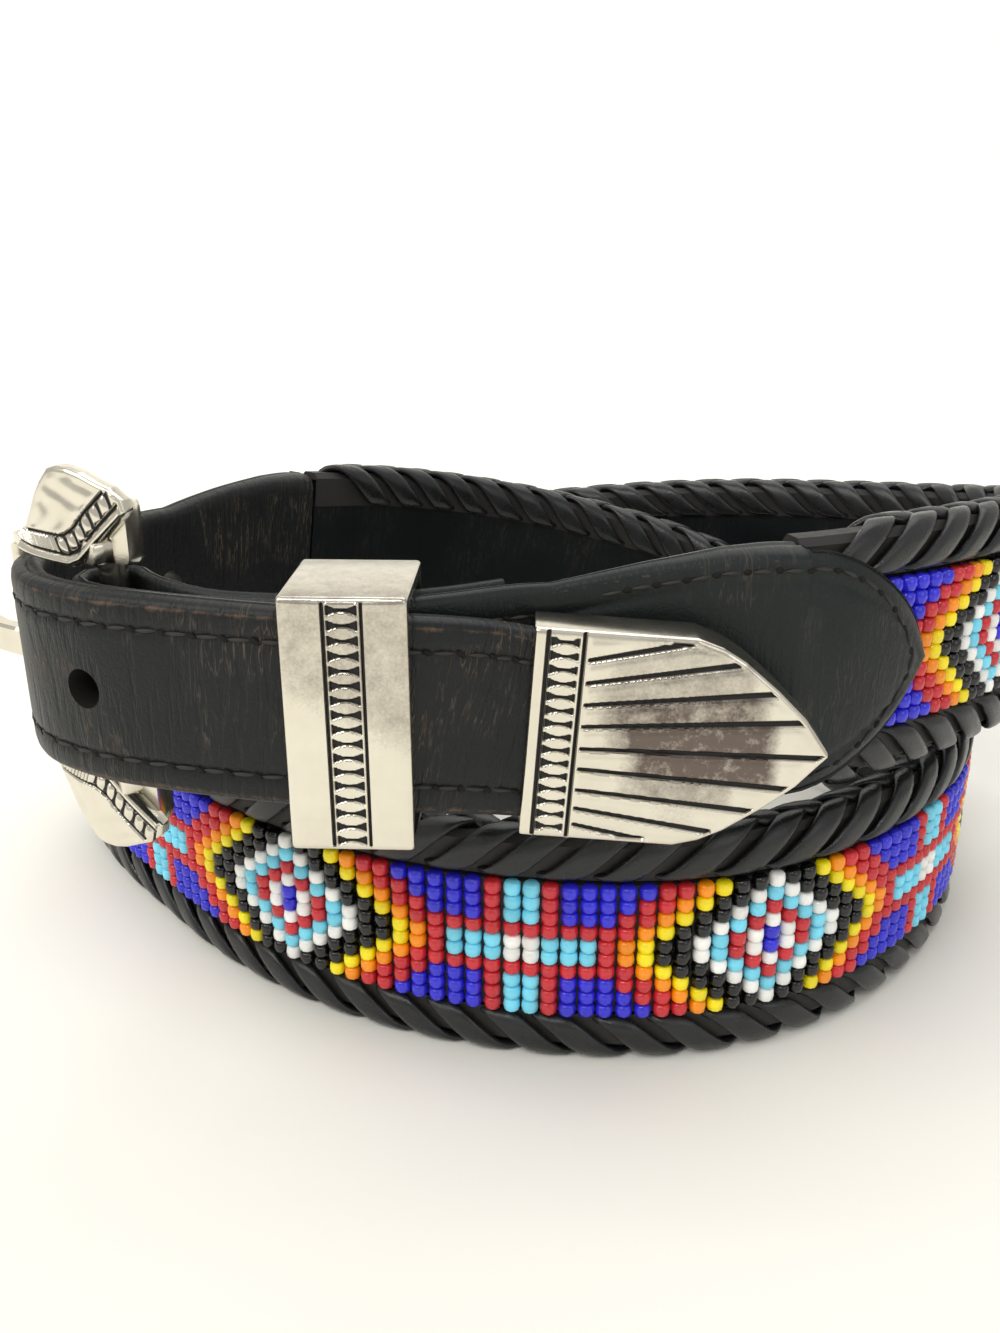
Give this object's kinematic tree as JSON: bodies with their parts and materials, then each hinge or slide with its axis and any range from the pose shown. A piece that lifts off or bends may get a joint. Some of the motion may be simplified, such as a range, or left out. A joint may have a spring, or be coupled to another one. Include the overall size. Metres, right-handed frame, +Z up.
{
  "type": "beaded belt",
  "caption": "Leather belt with a beaded band, laced edges, and a metal buckle, keeper and tip cap, fastened and coiled in two turns on its edge",
  "frame": {"origin": "middle of the outline of the coil, on the surface that the lower turn stands on", "axes": "+Z up across the belt's width, the buckle's front faces -Y, the buckle is at -X and the tip cap points to +X"},
  "size_m": [0.1873, 0.1446, 0.0891],
  "materials": {
    "black_leather": "smooth black leather with fine creases, brown where the edges are worn",
    "black_lace": "flat black leather lace, braided over the edge, half gloss",
    "glass_beads": "opaque glossy glass seed beads in white, turquoise, red, blue, yellow, orange and black",
    "antique_silver": "polished antique silver plate, black in the engraved lines"
  },
  "bodies": {
    "root": {"backing_strap": "black_leather", "bead_panel": "glass_beads", "lacing_top": "black_lace", "lacing_bottom": "black_lace", "buckle_billet": "black_leather", "tip_billet": "black_leather", "buckle_plate": "antique_silver", "buckle_prong": "antique_silver", "keeper_loop": "antique_silver", "tip_cap": "antique_silver"}
  },
  "joints": []
}
